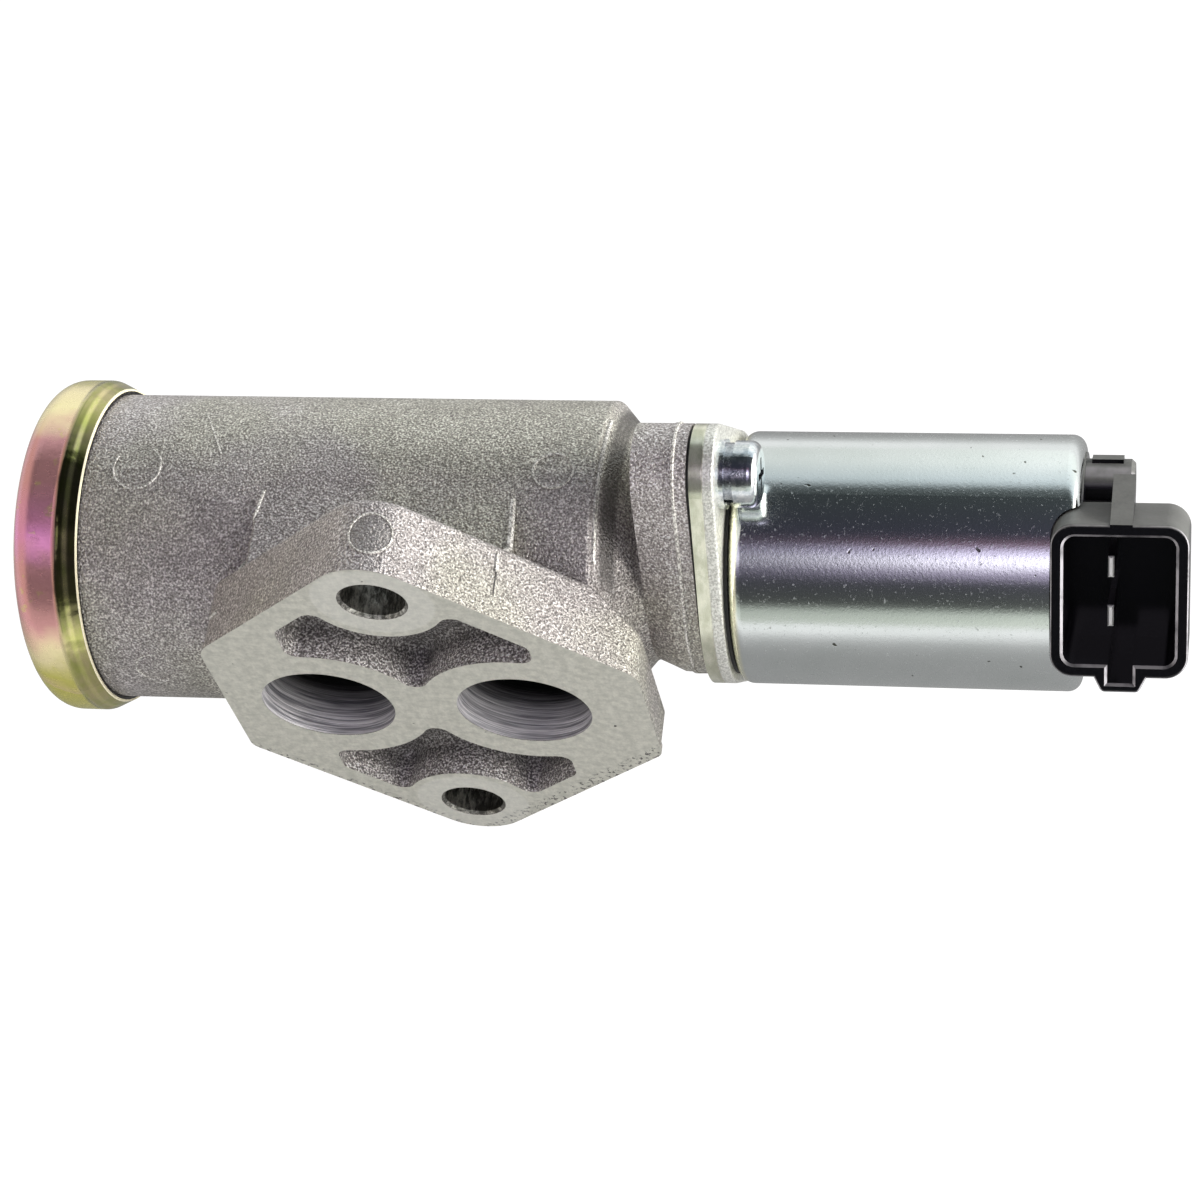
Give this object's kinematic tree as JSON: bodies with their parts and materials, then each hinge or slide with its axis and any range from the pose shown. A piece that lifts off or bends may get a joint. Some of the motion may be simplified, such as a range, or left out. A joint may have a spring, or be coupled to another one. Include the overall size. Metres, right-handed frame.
{
  "type": "idle air control valve",
  "caption": "Idle air control valve: cast two-port body with a flanged face, a pressed silencer cap, and a round solenoid with a two-pin connector.",
  "frame": {"origin": "middle of the machined mounting face, between the two air ports", "axes": "-Y out of the mounting face, +X along the valve axis from the silencer cap to the solenoid, +Z from the lower to the upper mounting bolt"},
  "size_m": [0.1605, 0.0486, 0.0778],
  "materials": {
    "cast_aluminium": "shot-blasted casting",
    "chromated_steel": "yellow passivated zinc plate",
    "zinc_plate": "bright clear zinc plate",
    "plate_steel": "clear zinc plate, pressed",
    "screw_steel": "bright zinc plate",
    "machined_steel": "turned",
    "stainless": "ground",
    "spring_steel": "drawn wire",
    "brass": "turned",
    "copper_wire": "enamelled winding",
    "black_plastic": "glass-filled nylon",
    "spool_plastic": "natural nylon",
    "black_rubber": "matt",
    "foam": "open-cell foam",
    "tinned_brass": "tinned"
  },
  "bodies": {
    "valve": {"valve_body": "cast_aluminium", "silencer_cap": "chromated_steel", "cap_seal": "black_rubber", "silencer_foam": "foam", "baffle_plate": "machined_steel", "valve_seat": "brass", "fixed_core": "machined_steel", "rod_bush": "brass", "armature_sleeve": "brass", "adjusting_plug": "brass", "return_spring": "spring_steel", "balance_spring": "spring_steel", "coil_bobbin": "spool_plastic", "coil_winding": "copper_wire", "rear_pole": "machined_steel", "solenoid_gasket": "black_rubber", "solenoid_plate": "plate_steel", "case_seal": "black_rubber", "solenoid_case": "zinc_plate", "connector_housing": "black_plastic", "terminal_upper": "tinned_brass", "terminal_lower": "tinned_brass", "plain_washers": "screw_steel", "lock_washers": "screw_steel", "solenoid_screws": "screw_steel"},
    "plunger": {"valve_rod": "stainless", "valve_poppet": "brass", "poppet_clip": "spring_steel", "armature": "machined_steel"}
  },
  "joints": [
    {"name": "plunger_slide", "type": "slide", "parent": "valve", "child": "plunger", "axis": [-1, 0, 0], "range_m": [0, 0.005], "stiffness_N_per_m": 1200, "springref_m": -0.002, "deforming": ["return_spring", "balance_spring"]}
  ]
}
